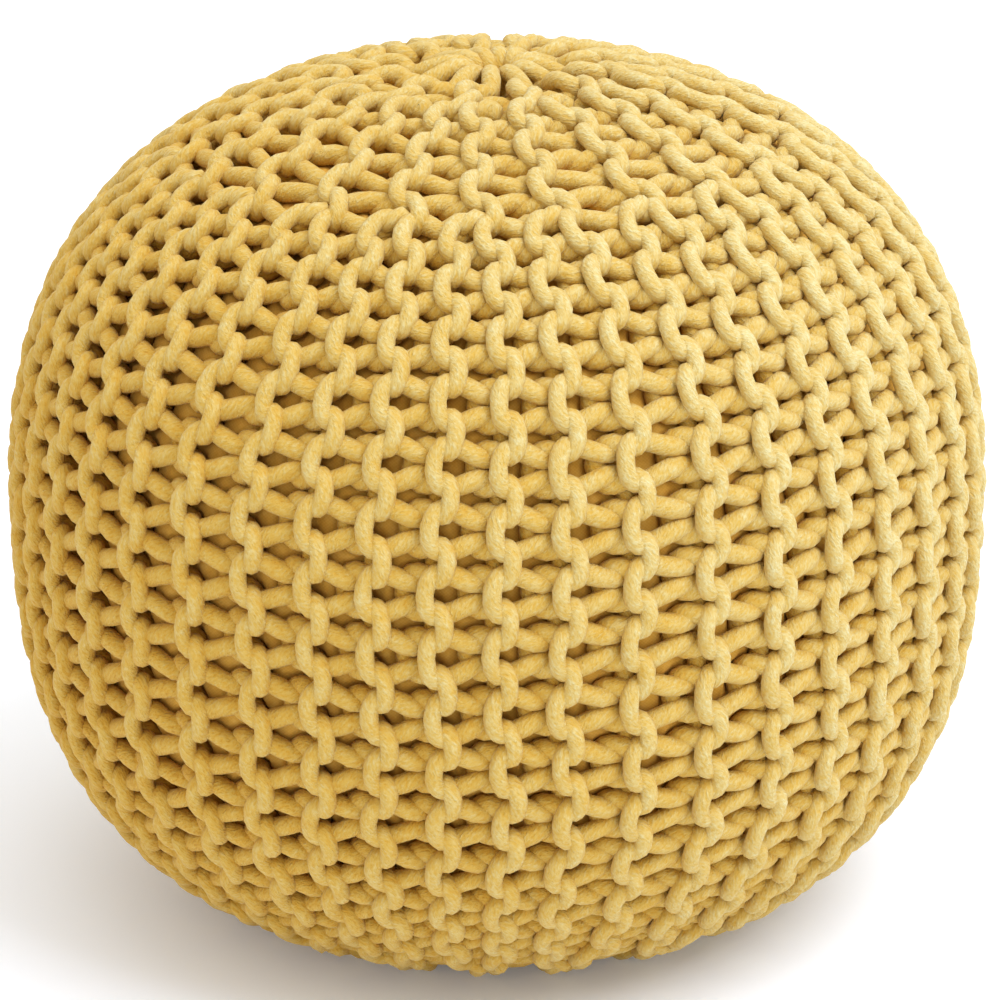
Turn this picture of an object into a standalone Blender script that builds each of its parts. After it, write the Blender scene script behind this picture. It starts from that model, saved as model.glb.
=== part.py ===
# Knitted pouf: a round floor cushion in two pieces. A filled cloth casing sits inside a cover
# that is knitted in thick cotton cord. The cover's ribs run from pole to pole, and as they near
# a pole they meet in pairs, twice over, before the cover is drawn together.
import math

import bmesh
import bpy
from mathutils import Matrix

# Driving dimensions, in metres
HALF_WIDTH = 0.230  # axis to the crests of the ribs, at the widest level
HALF_HEIGHT = 0.2107  # widest level to the top of the crown
RESTING_SHARE = 0.93  # how far the resting face lies below the widest level, of HALF_HEIGHT
CORD = 0.0080  # thickness of the cotton cord

# How square the crown and the base are: 2 is a plain ellipse, more is fuller at the shoulder
CROWN_POWER = 2.40
BASE_POWER = 2.62

RIB_DEPTH = 0.90 * CORD  # crest down to valley, where the ribs are widest
RIB_SHARE = 0.27  # the most that a rib stands up, as a share of its own pitch
RIB_FADE = 0.035  # length over which the ribs run out towards the resting face
TIER_BLEND = 0.016  # half the length over which one count of ribs passes into the next

# Ribs round the pouf, and how far from a pole each count begins, along the surface
RIB_TIERS = (
    {"ribs": 12, "begins": 0.0},
    {"ribs": 23, "begins": 0.27 * HALF_WIDTH},
    {"ribs": 46, "begins": 0.70 * HALF_WIDTH},
)
FRONT_RIB = math.radians(1.0)  # the rib nearest the front, turned this far round from -Y
RIBS_TO_BACK = 23  # ribs are counted from the one this many before the front one, at the back

# The ribs are spaced unevenly. Round a place, given in degrees from the front, they lie further
# round than even spacing would put them, and this dies away over the degrees before and after it.
RIB_SHIFTS = (
    {"place": -28, "further": 1.8, "before": 16, "after": 16},
    {"place": 12, "further": -1.5, "before": 11, "after": 11},
    {"place": 90, "further": 8.0, "before": 34, "after": 60},
)

WALL = 2.20 * CORD  # thickness of the knitted cloth, crest to back
PLAY = 0.0003  # between the cover and the casing
DIMPLE_DEPTH = 0.004  # where the cover is drawn together at the crown
DIMPLE_RADIUS = 0.022
EYE_RADIUS = 0.0018  # hole in the middle of each gather

SIDES_PER_RIB = 4
COVER_BANDS = 26  # bands of faces from the crown down to the resting face
CASING_BANDS = 15
LINE_STEPS = 400  # fine steps that the bands are measured along

FULL_RIBS = RIB_TIERS[-1]["ribs"]
RIB_ANGLE = math.tau / FULL_RIBS
FIRST_RIB = FRONT_RIB - RIBS_TO_BACK * RIB_ANGLE
RESTING_LEVEL = RESTING_SHARE * HALF_HEIGHT
FROM_TOP = "from_top"  # each point's length along the side from the middle of the crown


def clear_scene():
    for thing in list(bpy.data.objects):
        bpy.data.objects.remove(thing, do_unlink=True)


def new_collection(name):
    made = bpy.data.collections.new(name)
    bpy.context.scene.collection.children.link(made)
    return made


def cloth_material(name, colour, roughness):
    material = bpy.data.materials.new(name)
    material.use_nodes = True
    shader = material.node_tree.nodes["Principled BSDF"]
    shader.inputs["Base Color"].default_value = (*colour, 1.0)
    shader.inputs["Roughness"].default_value = roughness
    shader.inputs["Metallic"].default_value = 0.0
    material.diffuse_color = (*colour, 1.0)
    return material


def smooth_step(value, start, end):
    share = min(max((value - start) / (end - start), 0.0), 1.0)
    return share * share * (3.0 - 2.0 * share)


def side_line(inset, dimple=0.0):
    """(radius, height) from the middle of the crown to the rim of the resting face."""
    wide, tall = HALF_WIDTH - inset, HALF_HEIGHT - inset
    rim_cosine = ((RESTING_LEVEL - inset) / tall) ** (BASE_POWER / 2)
    rim_turn = math.pi - math.acos(rim_cosine)
    line = []
    for step in range(LINE_STEPS + 1):
        turn = rim_turn * step / LINE_STEPS
        power = 2 / (CROWN_POWER if turn < math.pi / 2 else BASE_POWER)
        radius = wide * math.sin(turn) ** power
        level = math.copysign(tall * abs(math.cos(turn)) ** power, math.cos(turn))
        if level > 0:
            level -= dimple * math.exp(-((radius / DIMPLE_RADIUS) ** 2))
        line.append((radius, RESTING_LEVEL + level))
    return line


def in_even_steps(line, bands):
    """The same line as points an equal length apart, with its whole length."""
    along = [0.0]
    for (r0, z0), (r1, z1) in zip(line, line[1:]):
        along.append(along[-1] + math.hypot(r1 - r0, z1 - z0))
    points, at = [], 0
    for band in range(bands + 1):
        wanted = along[-1] * band / bands
        while along[at + 1] < wanted and at < len(line) - 2:
            at += 1
        share = (wanted - along[at]) / (along[at + 1] - along[at])
        (r0, z0), (r1, z1) = line[at], line[at + 1]
        points.append((r0 + (r1 - r0) * share, z0 + (z1 - z0) * share))
    return points, along[-1]


def turned(name, profile, sides, home):
    """Turn (radius, height) points, top first, round the upright axis."""
    mesh = bpy.data.meshes.new(name)
    across, away = math.sin(FIRST_RIB), -math.cos(FIRST_RIB)
    points = [(radius * across, radius * away, height) for radius, height in profile]
    mesh.from_pydata(points, [(at, at + 1) for at in range(len(points) - 1)], [])
    made = bpy.data.objects.new(name, mesh)
    home.objects.link(made)
    screw = made.modifiers.new("Turn", "SCREW")
    screw.steps = screw.render_steps = sides
    screw.use_merge_vertices = True
    screw.merge_threshold = 0.00001
    screw.use_smooth_shade = True
    return made


def apply_modifiers(made):
    graph = bpy.context.evaluated_depsgraph_get()
    plain = bpy.data.meshes.new_from_object(made.evaluated_get(graph))
    made.modifiers.clear()
    made.data = plain


def in_pairs(centres):
    """Where ribs meet two by two. With an odd number, the last one runs on alone."""
    if len(centres) % 2:
        return in_pairs(centres[:-1] + [centres[-1], centres[-1]])
    return [(one + other) / 2 for one, other in zip(centres[::2], centres[1::2])]


def rib_wave(turn, centres):
    """1 on a rib's crest, 0 in the valley beside it, and the angle between the ribs there."""
    before = max((centre for centre in centres if centre <= turn), default=centres[-1] - math.tau)
    after = min((centre for centre in centres if centre > turn), default=centres[0] + math.tau)
    return abs(math.cos(math.pi * (turn - before) / (after - before))), after - before


def rib_shift(turn):
    """How much further round the ribs lie at a turn from the front, in radians."""
    total = 0.0
    for shift in RIB_SHIFTS:
        apart = (math.degrees(turn) - shift["place"] + 180) % 360 - 180
        width = shift["before"] if apart < 0 else shift["after"]
        total += math.radians(shift["further"]) * math.exp(-((apart / width) ** 2))
    return total


def rib_drop(turn, radius, from_pole):
    """How far the surface lies inside the crests."""
    drop = 0.0
    for number, tier in enumerate(RIB_TIERS):
        wave, angle = rib_wave(turn, tier["centres"])
        depth = min(RIB_DEPTH, RIB_SHARE * radius * angle)
        share = 1.0
        if number > 0:
            share = smooth_step(from_pole, tier["begins"] - TIER_BLEND, tier["begins"] + TIER_BLEND)
        if number + 1 < len(RIB_TIERS):
            ends = RIB_TIERS[number + 1]["begins"]
            share -= smooth_step(from_pole, ends - TIER_BLEND, ends + TIER_BLEND)
        drop += share * depth * (1.0 - wave)
    return drop


def raise_ribs(cover, length, rim_radius):
    """Leave ribs standing by moving the turned cover's points in from the crests, and round."""
    mesh = bmesh.new()
    mesh.from_mesh(cover.data)
    mesh.normal_update()
    layer = mesh.verts.layers.float[FROM_TOP]
    moves = []
    for vert in mesh.verts:
        radius = math.hypot(vert.co.x, vert.co.y)
        if radius < EYE_RADIUS:
            continue
        half_side = RIB_ANGLE / SIDES_PER_RIB / 2
        from_front = math.atan2(vert.co.x, -vert.co.y)
        turn = (from_front - FIRST_RIB + half_side) % math.tau - half_side
        to_rim = length - vert[layer]
        from_pole = min(vert[layer], to_rim + rim_radius)
        drop = rib_drop(max(turn, 0.0), radius, from_pole) * smooth_step(to_rim, 0.0, RIB_FADE)
        moves.append((vert, vert.normal * -drop, Matrix.Rotation(rib_shift(from_front), 3, "Z")))
    for vert, move, turned_on in moves:
        vert.co = turned_on @ (vert.co + move)
    mesh.to_mesh(cover.data)
    mesh.free()


def make_cutter(home):
    """The room inside the cover, with a neck through each gather."""
    inner, _ = in_even_steps(side_line(WALL), CASING_BANDS)
    above, below = 2 * RESTING_LEVEL + HALF_HEIGHT, -CORD
    first = next(at for at, (radius, _) in enumerate(inner) if radius > EYE_RADIUS)
    profile = [(0.0, above), (EYE_RADIUS, above), (EYE_RADIUS, inner[0][1])]
    profile += inner[first:]
    profile += [(EYE_RADIUS, inner[-1][1]), (EYE_RADIUS, below), (0.0, below)]
    cutter = turned("room_inside", profile, FULL_RIBS, home)
    cutter.hide_render = True
    cutter.display_type = "WIRE"
    return cutter


def make_cover(home, cutter):
    side, length = in_even_steps(side_line(0.0, DIMPLE_DEPTH), COVER_BANDS)
    cover = turned("knitted_cover", side + [(0.0, 0.0)], FULL_RIBS * SIDES_PER_RIB, home)
    layer = cover.data.attributes.new(FROM_TOP, "FLOAT", "POINT")
    for at, value in enumerate(layer.data):
        value.value = length * min(at / COVER_BANDS, 1.0)
    apply_modifiers(cover)
    raise_ribs(cover, length, side[-1][0])
    hollow = cover.modifiers.new("Hollow", "BOOLEAN")
    hollow.object = cutter
    hollow.operation = "DIFFERENCE"
    cover.data.materials.append(cloth_material("cotton_cord", (0.80, 0.55, 0.15), 0.9))
    return cover


def make_casing(home):
    side, _ = in_even_steps(side_line(WALL + PLAY), CASING_BANDS)
    casing = turned("filled_casing", side + [(0.0, side[-1][1])], FULL_RIBS, home)
    casing.data.materials.append(cloth_material("casing_cloth", (0.74, 0.50, 0.14), 0.85))
    return casing


def main():
    clear_scene()
    pouf = new_collection("knitted_pouf")
    cutters = new_collection("cutters")
    centres = [rib * RIB_ANGLE for rib in range(FULL_RIBS)]
    for tier in reversed(RIB_TIERS):
        tier["centres"] = centres
        centres = in_pairs(centres)
    make_cover(pouf, make_cutter(cutters))
    make_casing(pouf)


main()
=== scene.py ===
import math

import bmesh
import bpy
import numpy as np
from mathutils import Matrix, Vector


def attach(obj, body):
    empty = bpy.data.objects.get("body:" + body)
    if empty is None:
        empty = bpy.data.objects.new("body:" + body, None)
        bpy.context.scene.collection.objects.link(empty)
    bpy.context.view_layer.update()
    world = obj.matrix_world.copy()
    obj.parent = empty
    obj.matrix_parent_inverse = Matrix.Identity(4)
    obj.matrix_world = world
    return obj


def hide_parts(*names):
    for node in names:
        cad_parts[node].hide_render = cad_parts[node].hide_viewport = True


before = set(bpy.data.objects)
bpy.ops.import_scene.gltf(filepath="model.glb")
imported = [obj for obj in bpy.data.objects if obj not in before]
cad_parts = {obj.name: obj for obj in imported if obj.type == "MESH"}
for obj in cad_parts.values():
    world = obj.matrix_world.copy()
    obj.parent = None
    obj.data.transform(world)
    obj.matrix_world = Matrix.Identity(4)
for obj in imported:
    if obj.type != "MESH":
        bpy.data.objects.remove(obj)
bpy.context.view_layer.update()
scene = bpy.context.scene

# The outline of the knitted cover, in metres, as the solid's and 1.5 mm fuller at the waist
pouf = {
    "halfWidth": 0.2315,  # axis to the crests of the ribs
    "halfHeight": 0.2107,  # widest level to the crown
    "restingShare": 0.93,  # resting face below the widest level, of halfHeight
    "crownPower": 2.40,  # 2 is an ellipse, more is squarer
    "basePower": 2.62,
    "dimpleDepth": 0.001,  # where the cover is drawn together
    "dimpleRadius": 0.020,
}


def linear(hexColour):
    # sRGB hex to the linear colour that a shader reads
    parts = [int(hexColour[at : at + 2], 16) / 255 for at in (1, 3, 5)]
    curve = [c / 12.92 if c <= 0.04045 else ((c + 0.055) / 1.055) ** 2.4 for c in parts]
    return (*curve, 1.0)


def addNode(tree, kind, values=None, links=None, **settings):
    # values and links are keyed by input name or number
    node = tree.nodes.new(kind)
    for name, value in settings.items():
        setattr(node, name, value)
    for key, value in (values or {}).items():
        node.inputs[key].default_value = value
    for key, source in (links or {}).items():
        tree.links.new(source, node.inputs[key])
    return node


def newObject(name, points, edges=(), faces=()):
    mesh = bpy.data.meshes.new(name)
    mesh.from_pydata(points, edges, faces)
    made = bpy.data.objects.new(name, mesh)
    scene.collection.objects.link(made)
    return made


def applyAll(made):
    graph = bpy.context.evaluated_depsgraph_get()
    plain = bpy.data.meshes.new_from_object(made.evaluated_get(graph))
    made.modifiers.clear()
    made.data = plain


def smooth(x):
    x = np.clip(x, 0, 1)
    return x * x * (3 - 2 * x)


def sideLine(steps=900, flatSteps=120, even=1500, blend=41):
    # radius, height and outward normal along the side, from the crown to the middle of the base
    wide, tall = pouf["halfWidth"], pouf["halfHeight"]
    level = pouf["restingShare"] * tall
    rim = math.pi - math.acos(pouf["restingShare"] ** (pouf["basePower"] / 2))
    turn = np.linspace(0, rim, steps)
    power = np.where(turn < math.pi / 2, 2 / pouf["crownPower"], 2 / pouf["basePower"])
    r = wide * np.sin(turn) ** power
    z = level + np.sign(np.cos(turn)) * tall * np.abs(np.cos(turn)) ** power
    z -= np.where(z > level, pouf["dimpleDepth"] * np.exp(-((r / pouf["dimpleRadius"]) ** 2)), 0)
    flat = np.linspace(1, 0, flatSteps)[1:]
    r = np.concatenate([r, r[-1] * flat])
    z = np.concatenate([z, np.full(len(flat), z[-1])])
    along = np.concatenate([[0], np.cumsum(np.hypot(np.diff(r), np.diff(z)))])
    s = np.linspace(0, along[-1], even)
    r, z = np.interp(s, along, r), np.interp(s, along, z)
    slopes = []
    for line in (r, z):
        slope = np.gradient(line, s)
        padded = np.pad(slope, blend // 2, mode="edge")
        slopes.append(np.convolve(padded, np.ones(blend) / blend, "valid"))
    size = np.hypot(*slopes)
    return {"s": s, "r": r, "z": z, "nr": -slopes[1] / size, "nz": slopes[0] / size}


side = sideLine()
sideLength = side["s"][-1]
waist = int(np.argmax(side["r"]))


def onSide(points):
    # the length from the crown that each point is nearest to, and how deep it lies under the outline
    level = pouf["restingShare"] * pouf["halfHeight"]
    turns = np.arctan2(side["r"], side["z"] - level)
    out = np.hypot(side["r"], side["z"] - level)
    facing = (side["nr"] * side["r"] + side["nz"] * (side["z"] - level)) / out
    r, z = np.hypot(points[:, 0], points[:, 1]), points[:, 2] - level
    turn = np.arctan2(r, z)
    s, out, facing = (np.interp(turn, turns, line) for line in (side["s"], out, facing))
    return s, (out - np.hypot(r, z)) * facing


def keepValues(mesh, name, values):
    layer = mesh.attributes.new(name, "FLOAT", "POINT")
    layer.data.foreach_set("value", values.astype(np.float32))


def pointsOf(mesh, what="co"):
    flat = np.empty(len(mesh.vertices) * 3)
    mesh.vertices.foreach_get(what, flat)
    return flat.reshape(-1, 3)


def onSurface(lon, s):
    # the point at an angle round from the front and a length from the crown, and its normal
    r, z, nr, nz = (np.interp(s, side["s"], side[name]) for name in ("r", "z", "nr", "nz"))
    across, away = np.sin(lon), -np.cos(lon)
    return np.stack([r * across, r * away, z], -1), np.stack([nr * across, nr * away, nz], -1)


# The cover is garter stitch turned on its side: each ridge is a knit row and a purl row of one
# cord. Its stitches are worked out loop by loop, then eased, which spreads the cords but doesn't
# part them: where loops hook into each other or lie side by side the cords still overlap deeply.
cover = {
    "cord": 0.0080,  # the thickness that lengths called cords are counted in
    "plump": (1.00, 1.15),  # the cord's own, in the bars at the outline and deeper
    "plumpFrom": (0.0034, 0.0062),
    "ridges": 46,
    "frontRidge": 22,
    "frontTurn": 1.0,  # degrees, that ridge round from the front
    "shifts": (  # round these places the ridges lie further round than evenly spaced, in degrees
        {"place": -28, "further": 1.8, "before": 16, "after": 16},
        {"place": 12, "further": -1.5, "before": 11, "after": 11},
        {"place": 90, "further": 8.0, "before": 34, "after": 60},
    ),
    "stitches": 25,  # from pole to pole
    "margins": (0.006, 0.0135),  # from the crown and the base to the first and last stitch
    "drift": 0.0098,  # the most that a row of stitches climbs round the pouf, and where it does
    "driftTurn": 52.0,
    "crownTiers": (5, 2),  # stitches from the pole where ridges have met in pairs, and again
    "baseTiers": (5, 2),
    "meetOver": 1.3,  # stitches over which they lean together, and how much of that lies before
    "meetBefore": 0.75,
    "gather": 1,  # stitches left out at a pole, where the cord is drawn in
    "gatherBack": 0.018,  # metres behind the axis, at the crown
    "gatherReach": 0.14,  # and the length over which the stitches follow it
    "seed": 5,
    "loose": (0.05, 0.04),  # unevenness of single loops: sideways in cords, and of their length
    "sideWaves": ((0.0014, 0.16), (0.0007, 0.05)),  # of whole stretches: metres, and how far apart
    "alongWaves": ((0.0016, 0.22), (0.0009, 0.05)),
    "calmRadius": 0.06,  # nearer to the axis the stretches lie more evenly
    "fullPitch": 3.9,  # cords from ridge to ridge, with less the cords between them are shorter
    "firm": (-0.7, 0.9),  # cords to each side of a ridge that stay as wide even then
    "sides": 10,
    "steps": (0.0022, 0.0050),  # between the points of a finished cord, in bends and elsewhere
    "bend": 0.42,  # radians that it turns from point to point
    "lumps": 0.10,  # of the thickness
    "lumpsPerMetre": 130.0,
    "sunk": 0.45,  # how much deeper the cords between the ridges lie near the crown
    "sunkFrom": 0.080,  # where that begins, and it is whole at a third of this from the crown
    "sunkUnder": -0.75,  # of the points that lie deeper than this, in cords
    "parts": 6,
    "floor": 0.0001,  # what the cords are pressed flat on, just above the floor itself
}
cord = cover["cord"]
stitch = (sideLength - sum(cover["margins"])) / cover["stitches"]
ridgeAngle = math.tau / cover["ridges"]

# Half a loop, from the middle of its head outwards: 0 is its own ridge and 1 the next one to the
# right, then how far right, how far along the ridge and how deep, in cord thicknesses
knitHalf = (
    (0, -0.60, 0.00, -0.45),
    (0, -0.60, 0.42, -0.45),
    (0, -0.52, 0.80, -0.52),
    (0, -0.25, 1.04, -0.80),
    (0, 0.25, 1.10, -1.16),
    (0, 0.80, 1.02, -1.16),
    (0, 1.25, 0.88, -0.94),
    (0, 1.70, 0.72, -0.88),
    (1, -1.75, 0.58, -0.92),
    (1, -1.25, 0.50, -1.15),
    (1, -0.80, 0.48, -1.45),
    (1, -0.40, 0.70, -1.68),
    (1, -0.10, 1.15, -1.70),
)
purlHalf = (
    (0, -2.30, 0.00, -1.62),
    (0, -2.22, 0.60, -1.60),
    (0, -1.95, 1.02, -1.52),
    (0, -1.45, 1.26, -1.42),
    (0, -0.95, 1.18, -1.42),
    (0, -0.55, 0.98, -1.42),
    (0, -0.20, 0.82, -1.25),
    (0, 0.12, 0.82, -0.95),
    (0, 0.38, 1.00, -0.66),
    (0, 0.55, 1.34, -0.48),
)
# between two loops of a row: ridge, how far right and how deep
knitBetween = (1, 0.0, -1.70)
purlBetween = (0, 0.60, -0.45)
# Where a long ridge turns at a pole. 2 counts the length from the crown and 3 from the base.
crownTurn = (
    (2, 0.50, 3.5, -0.80),
    (2, 0.32, 2.8, -0.55),
    (2, 0.12, 2.1, -0.47),
    (2, 0.00, 1.5, -0.50),
    (2, 0.00, 1.05, -0.90),
    (2, 0.00, 0.9, -1.65),
    (2, 0.00, 1.4, -2.30),
    (2, -0.10, 2.3, -2.05),
    (2, -0.30, 3.1, -1.65),
)
# and where a short one turns, under the stitches in front of it
shortTurn = ((0, 1.70, -1.35, -1.00), (0, 1.15, -1.75, -0.80))
baseStart = ((3, 0.0, 1.4, -1.7), (3, 0.1, 2.0, -1.0), (3, 0.3, 2.8, -0.75), (3, 0.45, 3.5, -0.8))
baseEnd = ((3, -0.35, 3.2, -1.5), (3, -0.2, 2.5, -1.8), (3, 0.0, 1.8, -2.2))


def unevenness(random, length, count=14):
    # smooth unevenness over the pouf, from a few seeded waves: 2.2 makes them some 1.6 lengths long
    # and 1.4 makes their sum stray by about 1
    way = random.normal(size=(count, 3)) / length * 2.2
    start = random.uniform(0, math.tau, count)
    size = random.normal(size=count) / math.sqrt(count) * 1.4
    return lambda points: (np.sin(points @ way.T + start) * size).sum(-1)


def firstAndLast(ridge):
    # its stitches, counted from the crown: ridges 0, 4, 8 ... run to both poles, 2, 6 ... to the
    # second tiers and odd ones to the first
    ridge %= cover["ridges"]
    ends = []
    for tiers in (cover["crownTiers"], cover["baseTiers"]):
        ends.append(tiers[0] if ridge % 2 else tiers[1] if ridge // 2 % 2 else cover["gather"])
    return ends[0], cover["stitches"] - 1 - ends[1]


def nextRight(ridge, at):
    # how many ridges to the right the next one is that has this stitch
    for step in range(1, cover["ridges"]):
        first, last = firstAndLast(ridge + step)
        if first <= at <= last:
            return step


def ridgeShift(turn):
    # how much further round the ridges lie than evenly spaced ones
    total = 0
    for shift in cover["shifts"]:
        apart = (np.degrees(turn) - shift["place"] + 180) % 360 - 180
        width = np.where(apart < 0, shift["before"], shift["after"])
        total = total + shift["further"] * np.exp(-((apart / width) ** 2))
    return np.radians(total)


def ridgeTurn(ridge, s):
    # the middle line of each ridge: as they near a pole they lean together in pairs, twice over
    ridge = ridge % cover["ridges"]
    half = ridge // 2
    odd = ridge % 2 == 1
    alone = half == cover["ridges"] // 2 - 1
    second = np.where(odd | alone, 0.0, np.where(half % 2 == 0, 1.0, -1.0))
    steps = ridge - cover["frontRidge"]
    poles = (s, sideLength - s)
    over, before = cover["meetOver"], cover["meetBefore"]
    for near, tiers, margin in zip(poles, (cover["crownTiers"], cover["baseTiers"]), cover["margins"]):
        lean = [smooth((margin - near) / stitch / over + tier / over + before) for tier in tiers]
        steps = steps + np.where(odd, 0.5, -0.5) * lean[0] + second * lean[1]
    turn = math.radians(cover["frontTurn"]) + ridgeAngle * steps
    return turn + ridgeShift(turn)


def stitchTable():
    # every row's points in order: ridge, next ridge, stitch, row, then the half-loop columns
    rows = []
    between = stitch / cord / 2
    for ridge in range(cover["ridges"]):
        first, last = firstAndLast(ridge)
        long = first == cover["gather"]
        row = [(ridge, 1, last, 0, *turn, 0) for turn in baseStart if long]
        for at in range(last, first - 1, -1):
            right = nextRight(ridge, at)
            # the cord of a long ridge comes up from the base short of the next ridge
            half = knitHalf[:9] if long and at == last else knitHalf
            for which, u, v, n in half[:0:-1]:
                row.append((ridge, right, at, 0, which, u, v, n, 0))
            for which, u, v, n in knitHalf:
                row.append((ridge, right, at, 0, which, u, -v, n, 0))
            if at > first:
                which, u, n = knitBetween
                other = nextRight(ridge, at - 1)
                row.append((ridge, right, at, 0, which, u, -between, n, 1))
                row.append((ridge, other, at - 1, 0, which, u, between, n, 2))
        # the last loop's end makes way for the turn
        right = nextRight(ridge, first)
        kept, turns = (row[:-6], crownTurn) if long else (row[:-4], shortTurn)
        row = kept + [(ridge, right, first, 0, *turn, 0) for turn in turns]
        for at in range(first, last + 1):
            right = nextRight(ridge, at)
            for which, u, v, n in purlHalf[:0:-1]:
                row.append((ridge, right, at, 1, which, u, -v, n, 0))
            for which, u, v, n in purlHalf:
                row.append((ridge, right, at, 1, which, u, v, n, 0))
            if at < last:
                which, u, n = purlBetween
                other = nextRight(ridge, at + 1)
                row.append((ridge, right, at, 1, which, u, between, n, 1))
                row.append((ridge, other, at + 1, 1, which, u, -between, n, 2))
        row += [(ridge, 1, last, 1, *turn, 0) for turn in baseEnd if long]
        rows.append(np.array(row, float))
    return rows


def placeStitches(table, random):
    # turn, length from the crown and depth of every point in the table
    ridge, right, at, row = (table[:, c].astype(int) for c in range(4))
    which, u, v, n = (table[:, c] for c in range(4, 8))
    loose = random.normal(size=(cover["ridges"], cover["stitches"], 2, 3))[ridge, at, row]
    sideways, longer = cover["loose"]
    u = u + sideways * loose[:, 0]
    inLoop = (np.abs(v) < 1.5) & (which < 2)  # and not between two loops or at a pole
    v = np.where(inLoop, v * (1 + longer * loose[:, 1]), v)
    s = cover["margins"][0] + stitch * (at + 0.5) + v * cord
    s = np.where(which == 2, v * cord, np.where(which == 3, sideLength - v * cord, s))
    r = np.maximum(np.interp(s, side["s"], side["r"]), cord / 2)
    own = ridgeTurn(ridge, s)
    far = ridgeTurn(ridge + right, s)
    far = far + np.where(far < own, math.tau, 0)
    room = np.minimum(1, (far - own) * r / cord / cover["fullPitch"])
    low, high = cover["firm"]
    inner = np.where(u < low, low + (u - low) * room, u)
    inner = np.where(u > high, high + (u - high) * room**2, inner)
    lon = np.where(which == 1, far + u * room * cord / r, own + inner * cord / r)
    points, _ = onSurface(lon, s)
    edge = np.minimum(1, r / cover["calmRadius"])
    further, along = (
        sum(size * unevenness(random, length)(points) for size, length in cover[waves])
        for waves in ("sideWaves", "alongWaves")
    )
    lon = lon + further * edge / r
    s = s + along * edge
    s = s - cover["drift"] * np.cos(lon - math.radians(cover["driftTurn"])) * edge
    sunk = cover["sunk"] * smooth(1.5 - s / cover["sunkFrom"] * 1.5)
    n = n * (1 + sunk * (n < cover["sunkUnder"]))
    # the gather at the crown sits a little behind the axis
    r = np.interp(s, side["s"], side["r"])
    back = cover["gatherBack"] * smooth(1 - s / cover["gatherReach"]) - r * np.cos(lon)
    across = r * np.sin(lon)
    near = s < cover["gatherReach"]
    moved = np.interp(np.hypot(across, back), side["r"][:waist], side["s"][:waist])
    s = np.where(near, moved, s)
    turned = np.arctan2(across, -back) - lon
    lon = lon + np.where(near, (turned + math.pi) % math.tau - math.pi, 0)
    return np.stack([lon, s, n], -1)


def joinBetween(rows, placed):
    # the two points between loops become the one midway
    out, start, at = [], [0], 0
    for row in rows:
        part = placed[at : at + len(row)].copy()
        at += len(row)
        mark = row[:, 8]
        firstOnes = np.flatnonzero(mark == 1)
        part[firstOnes] = (part[firstOnes] + part[firstOnes + 1]) / 2
        out.append(part[mark != 2])
        start.append(start[-1] + len(out[-1]))
    return np.concatenate(out), np.array(start)


def cellPairs(points, others, size):
    # index pairs of points and others in the same cell or in cells side by side, in 27 batches
    low = np.minimum(points.min(0), others.min(0)) - size
    cell = np.floor((points - low) / size).astype(np.int64)
    theirs = np.floor((others - low) / size).astype(np.int64)
    wide = np.maximum(cell.max(0), theirs.max(0)) + 3
    flat, theirFlat = ((c[:, 0] * wide[1] + c[:, 1]) * wide[2] + c[:, 2] for c in (cell, theirs))
    order = np.argsort(theirFlat, kind="stable")
    ranked = theirFlat[order]
    every = np.arange(len(points))
    for dx, dy, dz in np.ndindex(3, 3, 3):
        wanted = flat + ((dx - 1) * wide[1] + dy - 1) * wide[2] + dz - 1
        start = np.searchsorted(ranked, wanted, "left")
        count = np.searchsorted(ranked, wanted, "right") - start
        one = np.repeat(every, count)
        offset = np.arange(len(one)) - np.repeat(np.cumsum(count) - count, count)
        yield one, order[np.repeat(start, count) + offset]


def nearPairs(x, start, reach, skip):
    # pairs of points nearer than reach, unless they follow each other on one cord
    row = np.searchsorted(start[1:], np.arange(len(x)), side="right")
    found = []
    for one, other in cellPairs(x, x, reach):
        keep = (other > one) & ((row[one] != row[other]) | (np.abs(one - other) > skip))
        one, other = one[keep], other[keep]
        close = np.linalg.norm(x[one] - x[other], axis=1) < reach
        found.append(np.stack([one[close], other[close]], -1))
    return np.concatenate(found).T


def addTo(total, at, what):
    for c in range(3):
        total[:, c] += np.bincount(at, what[:, c], minlength=len(total))


# Each round bends the cords straighter, draws them towards their own length, pushes near points off
# each other, moves them towards the room between the casing and the outline, and a little back home.
ease = {
    "rounds": 110,
    "looks": (0, 0.25, 0.6),  # when cords near each other are looked for, as shares of the rounds
    "near": 1.45,  # cords apart
    "skip": 4,  # points along one cord that never push each other
    "stiff": (0.16, 0.10),  # how much a bend straightens, and that in the last fifth
    "stretch": 0.25,
    "squeeze": 0.80,  # cords apart, nearer points push each other in the end, though most stay nearer
    "squeezeFrom": 0.45,  # and at first, with what it would gain over all the rounds
    "tighten": 0.7,
    "push": 1.2,  # of the push that would part them at once
    "pushed": 0.08,  # the most in one round, in cords
    "held": 0.7,
    "depths": (-1.75, -0.44),  # of a cord's middle under the outline, in cords
    "home": 0.03,
    "last": (3, 0.4),  # smoothing rounds at the end
}


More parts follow.
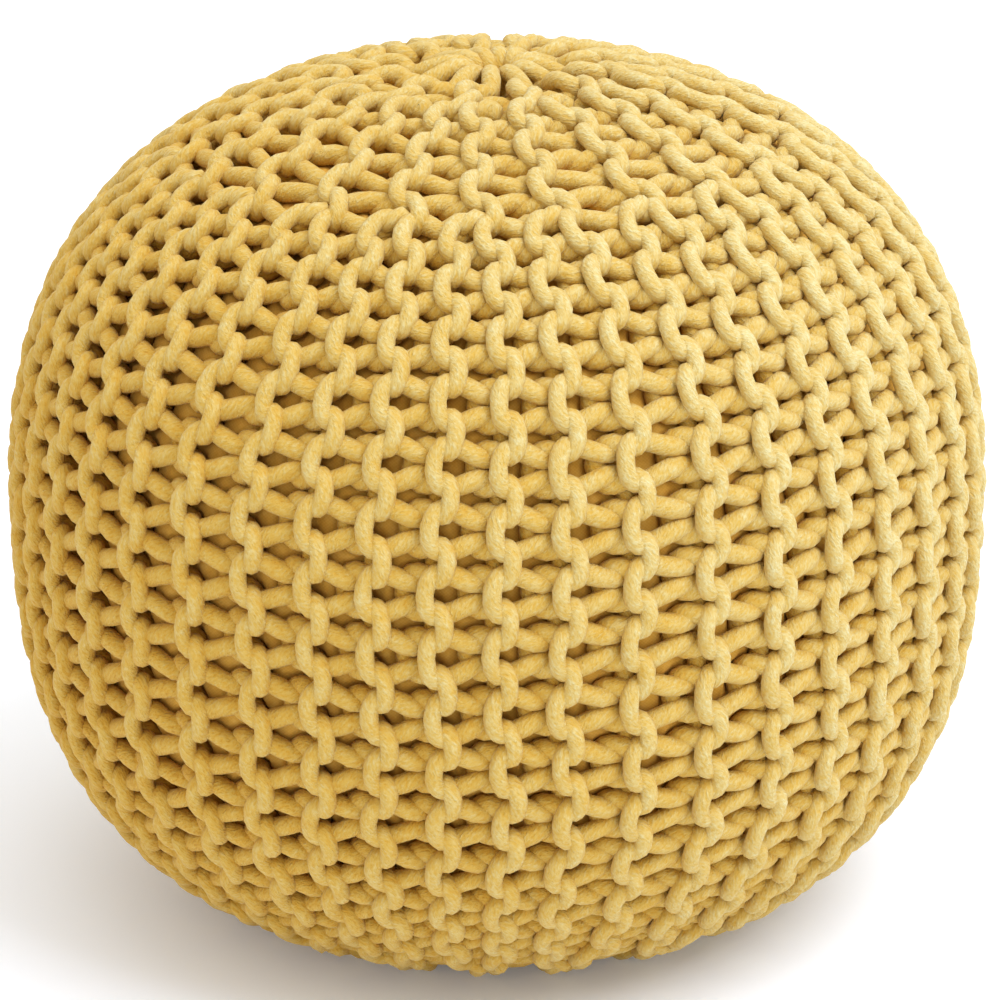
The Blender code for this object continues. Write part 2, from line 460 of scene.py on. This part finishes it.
def easeCords(placed, start):
    base, normal = onSurface(placed[:, 0], placed[:, 1])
    x = base + normal * placed[:, 2:3] * cord
    home = x.copy()
    count = len(x)
    row = np.searchsorted(start[1:], np.arange(count), side="right")
    link = np.flatnonzero(row[:-1] == row[1:])
    bend = np.flatnonzero(row[:-2] == row[2:]) + 1
    rest = np.linalg.norm(x[link + 1] - x[link], axis=1)
    lowest = np.minimum(ease["depths"][0], placed[:, 2]) * cord
    highest = ease["depths"][1] * cord
    rounds = ease["rounds"]
    looks = [int(share * rounds) for share in ease["looks"]]
    for turn in range(rounds):
        if turn in looks:
            one, other = nearPairs(x, start, ease["near"] * cord, ease["skip"])
        stiff = ease["stiff"][turn >= rounds * 0.8]
        x[bend] += stiff * ((x[bend - 1] + x[bend + 1]) / 2 - x[bend])
        for _ in range(2):  # towards the cord's own length
            way = x[link + 1] - x[link]
            long = np.linalg.norm(way, axis=1)
            pull = (ease["stretch"] * (long - rest) / long)[:, None] * way
            move = np.zeros_like(x)
            addTo(move, link, pull)
            addTo(move, link + 1, -pull)
            x += move
        reach = cord * min(ease["squeeze"], ease["squeezeFrom"] + ease["tighten"] * turn / rounds)
        way = x[other] - x[one]  # near points push each other
        long = np.linalg.norm(way, axis=1)
        hit = long < reach
        push = (0.5 * (reach - long[hit]) / np.maximum(long[hit], 1e-6))[:, None] * way[hit]
        move = np.zeros_like(x)
        hits = sum(np.bincount(end[hit], minlength=count) for end in (one, other))
        addTo(move, one[hit], -push)
        addTo(move, other[hit], push)
        move /= np.maximum(hits, 1)[:, None]
        size = np.maximum(np.linalg.norm(move, axis=1), 1e-9)
        x += move * np.minimum(ease["push"], ease["pushed"] * cord / size)[:, None]
        deep = ((x - base) * normal).sum(1)
        x += (ease["held"] * (np.clip(deep, lowest, highest) - deep))[:, None] * normal
        x += ease["home"] * (home - x)
    count, share = ease["last"]
    for _ in range(count):
        x[bend] += share * ((x[bend - 1] + x[bend + 1]) / 2 - x[bend])
    away = np.linalg.norm(x - home, axis=1) / cord
    print(f"eased: half the points moved by {np.median(away):.2f} cords, the most {away.max():.2f}")
    return x


def roundOff(points):
    # cut the corners three times, then step along, closer where the cord bends tightly
    for _ in range(3):
        cut = np.empty((2 * len(points) - 2, 3))
        cut[0::2] = 0.75 * points[:-1] + 0.25 * points[1:]
        cut[1::2] = 0.25 * points[:-1] + 0.75 * points[1:]
        points = np.concatenate([points[:1], cut, points[-1:]])
    way = np.diff(points, axis=0)
    long = np.linalg.norm(way, axis=1)
    way /= long[:, None]
    bent = np.linalg.norm(np.diff(way, axis=0), axis=1) / long[1:]
    bent = np.convolve(np.pad(bent, 4, mode="edge"), np.ones(9) / 9, "valid")
    closest, widest = cover["steps"]
    want = np.clip(cover["bend"] / np.maximum(bent, 1e-3), closest, widest)
    count = np.concatenate([[0], np.cumsum(long / np.concatenate([want[:1], want]))])
    even = np.linspace(0, count[-1], int(round(count[-1])) + 1)
    return np.stack([np.interp(even, count, points[:, c]) for c in range(3)], -1)


def knitCover():
    random = np.random.default_rng(cover["seed"])
    rows = stitchTable()
    placed, start = joinBetween(rows, placeStitches(np.concatenate(rows), random))
    eased = easeCords(placed, start)
    return [roundOff(eased[a:b]) for a, b in zip(start, start[1:])]


def sweepTree(material):
    # a round, slightly lumpy cord along each line, with where each point lies on it as cordPlace;
    # the noise seldom strays more than a quarter from its middle, so Lumps is four times the lumps
    tree = bpy.data.node_groups.new("sweepCord", "GeometryNodeTree")
    tree.interface.new_socket("Geometry", in_out="INPUT", socket_type="NodeSocketGeometry")
    for name, kind in (("Thickness", "Float"), ("Sides", "Int"), ("Lumps", "Float")):
        tree.interface.new_socket(name, in_out="INPUT", socket_type="NodeSocket" + kind)
    tree.interface.new_socket("Geometry", in_out="OUTPUT", socket_type="NodeSocketGeometry")

    given = addNode(tree, "NodeGroupInput").outputs
    lines = addNode(tree, "GeometryNodeMeshToCurve", links={"Mesh": given["Geometry"]})
    spline = addNode(tree, "GeometryNodeSplineParameter")
    keepAlong = addNode(tree, "GeometryNodeCaptureAttribute", links={0: lines.outputs[0]})
    keepAlong.capture_items.new("FLOAT", "Along")
    tree.links.new(spline.outputs["Length"], keepAlong.inputs[1])
    noise = addNode(tree, "ShaderNodeTexNoise", {"Scale": cover["lumpsPerMetre"], "Detail": 2.0})
    lump = addNode(tree, "ShaderNodeMath", {1: 0.5}, {0: noise.outputs[0]}, operation="SUBTRACT")
    scaled = addNode(
        tree,
        "ShaderNodeMath",
        {2: 1.0},
        {0: lump.outputs[0], 1: given["Lumps"]},
        operation="MULTIPLY_ADD",
    )
    plump = addNode(tree, "GeometryNodeInputNamedAttribute", {"Name": "plump"})
    thick = addNode(
        tree,
        "ShaderNodeMath",
        links={0: scaled.outputs[0], 1: plump.outputs[0]},
        operation="MULTIPLY",
    )
    half = addNode(tree, "ShaderNodeMath", {1: 0.5}, {0: given["Thickness"]}, operation="MULTIPLY")
    ring = addNode(
        tree,
        "GeometryNodeCurvePrimitiveCircle",
        links={"Resolution": given["Sides"], "Radius": half.outputs[0]},
    )
    place = addNode(tree, "GeometryNodeInputPosition")
    keepRound = addNode(tree, "GeometryNodeCaptureAttribute", links={0: ring.outputs[0]})
    keepRound.capture_items.new("VECTOR", "Round")
    tree.links.new(place.outputs[0], keepRound.inputs[1])
    swept = addNode(
        tree,
        "GeometryNodeCurveToMesh",
        {"Fill Caps": True},
        {0: keepAlong.outputs[0], 1: keepRound.outputs[0], "Scale": thick.outputs[0]},
    )
    apart = addNode(tree, "ShaderNodeSeparateXYZ", links={0: keepRound.outputs[1]})
    joined = addNode(
        tree,
        "ShaderNodeCombineXYZ",
        links={0: apart.outputs[0], 1: apart.outputs[1], 2: keepAlong.outputs[1]},
    )
    stored = addNode(
        tree,
        "GeometryNodeStoreNamedAttribute",
        {"Name": "cordPlace"},
        {0: swept.outputs[0], "Value": joined.outputs[0]},
        data_type="FLOAT_VECTOR",
        domain="POINT",
    )
    soft = addNode(tree, "GeometryNodeSetShadeSmooth", links={0: stored.outputs[0]})
    real = addNode(tree, "GeometryNodeRealizeInstances", links={0: soft.outputs[0]})
    dressed = addNode(tree, "GeometryNodeSetMaterial", {"Material": material}, {0: real.outputs[0]})
    addNode(tree, "NodeGroupOutput", links={0: dressed.outputs[0]})
    return tree


def sweepCords(name, lines, tree):
    start = np.cumsum([0] + [len(line) for line in lines])
    edges = [(at, at + 1) for a, b in zip(start, start[1:]) for at in range(a, b - 1)]
    made = newObject(name, np.concatenate(lines).tolist(), edges)
    sweep = made.modifiers.new("Sweep", "NODES")
    sweep.node_group = tree
    thin, thick = cover["plump"]
    shallow, deep = cover["plumpFrom"]
    inset = onSide(np.concatenate(lines))[1]
    keepValues(made.data, "plump", thin + (thick - thin) * smooth((inset - shallow) / (deep - shallow)))
    sizes = {"Thickness": cord, "Sides": cover["sides"], "Lumps": cover["lumps"] * 4}
    for item in tree.interface.items_tree:
        if item.in_out == "INPUT" and item.name in sizes:
            sweep[item.identifier] = sizes[item.name]
    applyAll(made)
    made.data.name = name
    points = pointsOf(made.data)
    keepValues(made.data, "inset", onSide(points)[1])
    points[:, 2] = np.maximum(points[:, 2], cover["floor"])
    made.data.vertices.foreach_set("co", points.ravel())
    made.data.update()
    return made


def clothMaterial(name, roughness, specular, sheen):
    material = bpy.data.materials.new(name)
    material.use_nodes = True
    shader = material.node_tree.nodes["Principled BSDF"]
    shader.inputs["Roughness"].default_value = roughness
    shader.inputs["Specular IOR Level"].default_value = specular
    shader.inputs["Sheen Weight"].default_value = sheen
    shader.inputs["Sheen Roughness"].default_value = 0.5
    return material, material.node_tree, shader


def setShades(ramp, colours):
    # evenly spaced along it
    while len(ramp.elements) < len(colours):
        ramp.elements.new(0.5)
    for at, colour in enumerate(colours):
        ramp.elements[at].position = at / (len(colours) - 1)
        ramp.elements[at].color = linear(colour)


def cottonCord():
    # Spun cotton cord: soft and matt, with tufts of fibre that lie along a slow twist and speckle
    # it. It is painted darker deeper between the cords, as painted shade, and paler at its outer side,
    # partly as rubbed wear. Painted light makes it paler over the crown and down the lit side.
    values = {
        "shades": ("#B07C1C", "#C8992F", "#CCA74B", "#D1B76F", "#D8CB95"),  # darkest to palest; besides dye and fibre they carry the painted shade and painted light
        "shadeAndWearTo": 0.015,  # metres under the outline where the painted shade is deepest and no wear reaches
        "shadeAndWear": 0.44,  # how much of the row of shades the painted shade and wear go through, two fifths of it paler
        "mottle": 0.010,  # metres, the size of the patches where the dye took unevenly
        "patchy": 0.55,  # and how strong they are, as for speckled and the tufts
        "middle": 0.35,  # the commonest shade along that row, from 0 to 1
        "paintedLitSide": (0.80, -0.10, 0.55),  # painted light: shades gained for each metre right, back and up, paler on the side the key light falls on and over the crown
        "fibre": 0.0013,  # width of a tuft of fibres, coarser than a real one so that it shows
        "tuft": 0.0017,  # its length
        "speckled": 1.15,
        "lay": 0.040,  # length of cord for one turn of the twist
        "relief": 0.0013,  # height of the tufts
    }
    material, tree, shader = clothMaterial("spun cotton cord", 0.85, 0.35, 0.10)
    place = addNode(tree, "ShaderNodeAttribute", attribute_name="cordPlace")
    turns = addNode(tree, "ShaderNodeSeparateXYZ", links={0: place.outputs["Vector"]})
    # x and y go once round the cord, z is metres along it; the twist turns x and y as z grows
    twist = addNode(
        tree,
        "ShaderNodeMath",
        {1: math.tau / values["lay"]},
        {0: turns.outputs[2]},
        operation="MULTIPLY",
    )
    twisted = addNode(
        tree,
        "ShaderNodeVectorRotate",
        {"Center": (0, 0, 0), "Axis": (0, 0, 1)},
        {"Vector": place.outputs["Vector"], "Angle": twist.outputs[0]},
    )
    across = 1 / values["fibre"]
    fibres = addNode(
        tree,
        "ShaderNodeMapping",
        {"Scale": (across, across, 1 / values["tuft"])},
        {"Vector": twisted.outputs[0]},
    )
    tufts = addNode(
        tree,
        "ShaderNodeTexNoise",
        {"Scale": 1.0, "Detail": 2.5, "Roughness": 0.65},
        {"Vector": fibres.outputs[0]},
    )
    spot = addNode(tree, "ShaderNodeTexCoord")
    patches = addNode(
        tree,
        "ShaderNodeTexNoise",
        {"Scale": 1 / values["mottle"], "Detail": 3.0, "Roughness": 0.65},
        {"Vector": spot.outputs["Object"]},
    )
    inset = addNode(tree, "ShaderNodeAttribute", attribute_name="inset")
    middle = values["middle"] - (values["patchy"] + values["speckled"]) / 2
    # painted shade: darker the deeper a point lies under the outline, between the cords, and paler at
    # the outline, partly as wear
    wornAndShaded = addNode(
        tree,
        "ShaderNodeMapRange",
        {
            "From Max": values["shadeAndWearTo"],
            "To Min": middle + values["shadeAndWear"] * 0.4,
            "To Max": middle - values["shadeAndWear"] * 0.6,
        },
        {"Value": inset.outputs["Fac"]},
    )
    mottled = addNode(
        tree,
        "ShaderNodeMath",
        {1: values["patchy"]},
        {0: patches.outputs[0], 2: wornAndShaded.outputs[0]},
        operation="MULTIPLY_ADD",
    )
    speckled = addNode(
        tree,
        "ShaderNodeMath",
        {1: values["speckled"]},
        {0: tufts.outputs[0], 2: mottled.outputs[0]},
        operation="MULTIPLY_ADD",
    )
    # painted light: paler towards the right and the top, where the key light falls
    paintedLitSide = addNode(
        tree,
        "ShaderNodeVectorMath",
        {1: values["paintedLitSide"]},
        {0: spot.outputs["Object"]},
        operation="DOT_PRODUCT",
    )
    shade = addNode(
        tree,
        "ShaderNodeMath",
        links={0: speckled.outputs[0], 1: paintedLitSide.outputs["Value"]},
        operation="ADD",
    )
    raised = addNode(
        tree,
        "ShaderNodeBump",
        {"Strength": 0.9, "Distance": values["relief"]},
        {"Height": tufts.outputs[0]},
    )
    rampColour = addNode(tree, "ShaderNodeValToRGB", links={"Fac": shade.outputs[0]})
    setShades(rampColour.color_ramp, values["shades"])
    tree.links.new(rampColour.outputs[0], shader.inputs["Base Color"])
    tree.links.new(raised.outputs[0], shader.inputs["Normal"])
    return material


def plainCloth():
    # Plain-woven cotton: a fine even chequer of threads over and under each other, quite matt,
    # slightly slubbed, dyed to match the cord
    values = {
        "shades": ("#C8942C", "#DEAC48", "#E8C064"),
        "thread": 0.0008,  # metres across a thread, twice a real one so that it shows
        "slub": 0.006,
        "round": 0.195,  # radius that the threads round the bag are spaced at
        "weave": 0.12,  # how much of the shades the threads go through, next to the slubs
        "relief": 0.0002,
    }
    material, tree, shader = clothMaterial("plain woven cotton", 0.9, 0.25, 0.05)
    spot = addNode(tree, "ShaderNodeTexCoord")
    apart = addNode(tree, "ShaderNodeSeparateXYZ", links={0: spot.outputs["Object"]})
    turn = addNode(
        tree,
        "ShaderNodeMath",
        links={0: apart.outputs[1], 1: apart.outputs[0]},
        operation="ARCTAN2",
    )
    along = addNode(tree, "ShaderNodeAttribute", attribute_name="along")
    waves = []
    for source, scale in (
        (turn.outputs[0], round(math.pi * values["round"] / values["thread"])),
        (along.outputs["Fac"], math.pi / values["thread"]),
    ):
        scaled = addNode(tree, "ShaderNodeMath", {1: scale}, {0: source}, operation="MULTIPLY")
        waves.append(addNode(tree, "ShaderNodeMath", links={0: scaled.outputs[0]}, operation="SINE"))
    woven = addNode(
        tree,
        "ShaderNodeMath",
        links={0: waves[0].outputs[0], 1: waves[1].outputs[0]},
        operation="MULTIPLY",
    )
    slubs = addNode(
        tree,
        "ShaderNodeTexNoise",
        {"Scale": 1 / values["slub"], "Detail": 3.0, "Roughness": 0.7},
        {"Vector": spot.outputs["Object"]},
    )
    shade = addNode(
        tree,
        "ShaderNodeMath",
        {1: values["weave"]},
        {0: woven.outputs[0], 2: slubs.outputs[0]},
        operation="MULTIPLY_ADD",
    )
    raised = addNode(
        tree,
        "ShaderNodeBump",
        {"Strength": 0.7, "Distance": values["relief"]},
        {"Height": shade.outputs[0]},
    )
    rampColour = addNode(tree, "ShaderNodeValToRGB", links={"Fac": shade.outputs[0]})
    setShades(rampColour.color_ramp, values["shades"])
    tree.links.new(rampColour.outputs[0], shader.inputs["Base Color"])
    tree.links.new(raised.outputs[0], shader.inputs["Normal"])
    return material


spunCord, wovenCotton = cottonCord(), plainCloth()

lines = knitCover()
length = sum(np.linalg.norm(np.diff(line, axis=0), axis=1).sum() for line in lines)
print(f"knitted cover: {length:.0f} m of cord in {sum(map(len, lines))} points")
cordTree = sweepTree(spunCord)
bounds = np.linspace(0, cover["ridges"], cover["parts"] + 1).round().astype(int)
for part, (a, b) in enumerate(zip(bounds, bounds[1:])):
    piece = sweepCords(f"knit_ridges_{part + 1}", lines[a:b], cordTree)
    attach(piece, "root")
    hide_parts("knitted_cover")
    print(piece.name, len(piece.data.polygons), "faces")

casing = {
    "inward": 0.0015,  # from the plain solid, before it is filled
    "voxel": 0.006,
    "pressure": 4.0,
    "frames": 20,
    "swell": 0.003,  # the most that a point moves as it fills
    "between": 0.0090,  # the most that the cloth stands out between the cords
    "gathered": 0.030,  # nearer to a pole than this the cover draws it in
    "clear": 0.0003,  # between cloth and cord
    "rounds": 40,
    "push": 0.0004,  # each round, against the pull of the cloth
    "pull": 0.6,
}


def fillCasing():
    # the bag is blown out by its filling
    mesh = bmesh.new()
    mesh.from_mesh(bpy.data.objects["filled_casing"].data)
    bmesh.ops.remove_doubles(mesh, verts=mesh.verts, dist=1e-6)
    mesh.normal_update()
    for vert in mesh.verts:
        vert.co -= vert.normal * casing["inward"]
    made = newObject("casing_cloth", [])
    mesh.to_mesh(made.data)
    mesh.free()
    even = made.modifiers.new("Even", "REMESH")
    even.mode = "VOXEL"
    even.voxel_size = casing["voxel"]
    applyAll(made)
    rest = [vert.co.copy() for vert in made.data.vertices]
    cloth = made.modifiers.new("Fill", "CLOTH")
    cloth.settings.use_pressure = True
    cloth.settings.uniform_pressure_force = casing["pressure"]
    cloth.settings.effector_weights.gravity = 0
    for number in range(casing["frames"]):
        scene.frame_set(number + 1)
    applyAll(made)
    scene.frame_set(1)
    for vert, was in zip(made.data.vertices, rest):
        move = vert.co - was
        if move.length > casing["swell"]:
            vert.co = was + move.normalized() * casing["swell"]
    finer = made.modifiers.new("Finer", "SUBSURF")
    finer.levels = finer.render_levels = 1
    applyAll(made)
    made.data.shade_smooth()
    return made


def holdBack(made, lines):
    # the cloth stands out between the cords, and they hold it back where they cross it
    mesh = made.data
    count = len(mesh.vertices)
    base, normal = pointsOf(mesh), pointsOf(mesh, "normal")
    between = np.concatenate([(line[1:] + line[:-1]) / 2 for line in lines])
    cordPoints = np.concatenate([*lines, between])
    reach = 0.5 * cord * cover["plump"][1] * (1 + cover["lumps"]) + casing["clear"]
    room = casing["between"] * smooth(np.hypot(base[:, 0], base[:, 1]) / casing["gathered"])
    for one, other in cellPairs(base, cordPoints, casing["between"] + reach):
        way = cordPoints[other] - base[one]
        out = (way * normal[one]).sum(-1)
        beside = reach**2 - (way**2).sum(-1) + out**2
        hit = (beside > 0) & (out > -reach)
        np.minimum.at(room, one[hit], (out - np.sqrt(np.maximum(beside, 0)))[hit])
    edges = np.empty(len(mesh.edges) * 2, int)
    mesh.edges.foreach_get("vertices", edges)
    a, b = edges.reshape(-1, 2).T
    links = np.bincount(edges, minlength=count)
    height = np.minimum(room, 0)
    for _ in range(casing["rounds"]):
        total = np.bincount(a, height[b], minlength=count) + np.bincount(b, height[a], minlength=count)
        pulled = (1 - casing["pull"]) * height + casing["pull"] * total / links
        height = np.minimum(room, pulled + casing["push"])
    mesh.vertices.foreach_set("co", (base + normal * height[:, None]).ravel())
    mesh.update()
    typical, most = 1000 * np.median(height), 1000 * height.max()
    print(f"casing cloth stands out by {typical:.1f} mm, at most {most:.1f}")


filled = fillCasing()
holdBack(filled, lines)
filled.data.materials.clear()
filled.data.materials.append(wovenCotton)
keepValues(filled.data, "along", onSide(pointsOf(filled.data))[0])
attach(filled, "root")
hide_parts("filled_casing")
print("filled casing:", len(filled.data.polygons), "faces")

studio = {
    "viewDown": 20.2,  # degrees
    "distance": 2.07,
    "lens": 156.2,
    "shift": (0.003, -0.009),
    "sky": "#FFFCF4",
    "skyStrength": 1.00,
    "lamps": "#E8EFFF",
    "lights": {  # place, size and power
        "key_light": ((2.3, -1.5, 3.8), 2.8, 138),
        "top_light": ((0.2, -0.3, 3.2), 2.5, 21),
    },
    "floor": "#F4F8FF",
    "floorReach": 15,
    "glow": 0.10,  # of the floor, a light table
    "glowColour": "#E4EEFF",
}

reach = studio["floorReach"]
corners = [(-reach, -reach, 0), (reach, -reach, 0), (reach, reach, 0), (-reach, reach, 0)]
floor = newObject("floor", corners, faces=[(0, 1, 2, 3)])
floorPaint = bpy.data.materials.new("matt white board")
floorPaint.use_nodes = True
floorShader = floorPaint.node_tree.nodes["Principled BSDF"]
floorShader.inputs["Base Color"].default_value = linear(studio["floor"])
floorShader.inputs["Roughness"].default_value = 0.9
floorShader.inputs["Emission Color"].default_value = linear(studio["glowColour"])
floorShader.inputs["Emission Strength"].default_value = studio["glow"]
floor.data.materials.append(floorPaint)

sky = bpy.data.worlds.new("studio")
sky.use_nodes = True
sky.node_tree.nodes["Background"].inputs["Color"].default_value = linear(studio["sky"])
sky.node_tree.nodes["Background"].inputs["Strength"].default_value = studio["skyStrength"]
scene.world = sky
scene.view_settings.view_transform = "Standard"


def aim(thing, target):
    thing.rotation_euler = (Vector(target) - thing.location).to_track_quat("-Z", "Y").to_euler()


def softLight(name, place, size, power):
    lamp = bpy.data.lights.new(name, "AREA")
    lamp.energy, lamp.size, lamp.color = power, size, linear(studio["lamps"])[:3]
    made = bpy.data.objects.new(name, lamp)
    scene.collection.objects.link(made)
    made.location = place
    aim(made, (0, 0, 0.2))


for name, (place, size, power) in studio["lights"].items():
    softLight(name, place, size, power)

down = math.radians(studio["viewDown"])
eye = bpy.data.objects.new("camera", bpy.data.cameras.new("camera"))
scene.collection.objects.link(eye)
middle = Vector((0, 0, pouf["restingShare"] * pouf["halfHeight"]))
eye.location = middle + studio["distance"] * Vector((0, -math.cos(down), math.sin(down)))
aim(eye, middle)
eye.data.lens = studio["lens"]
eye.data.clip_start = 0.01
eye.data.shift_x, eye.data.shift_y = studio["shift"]
scene.camera = eye
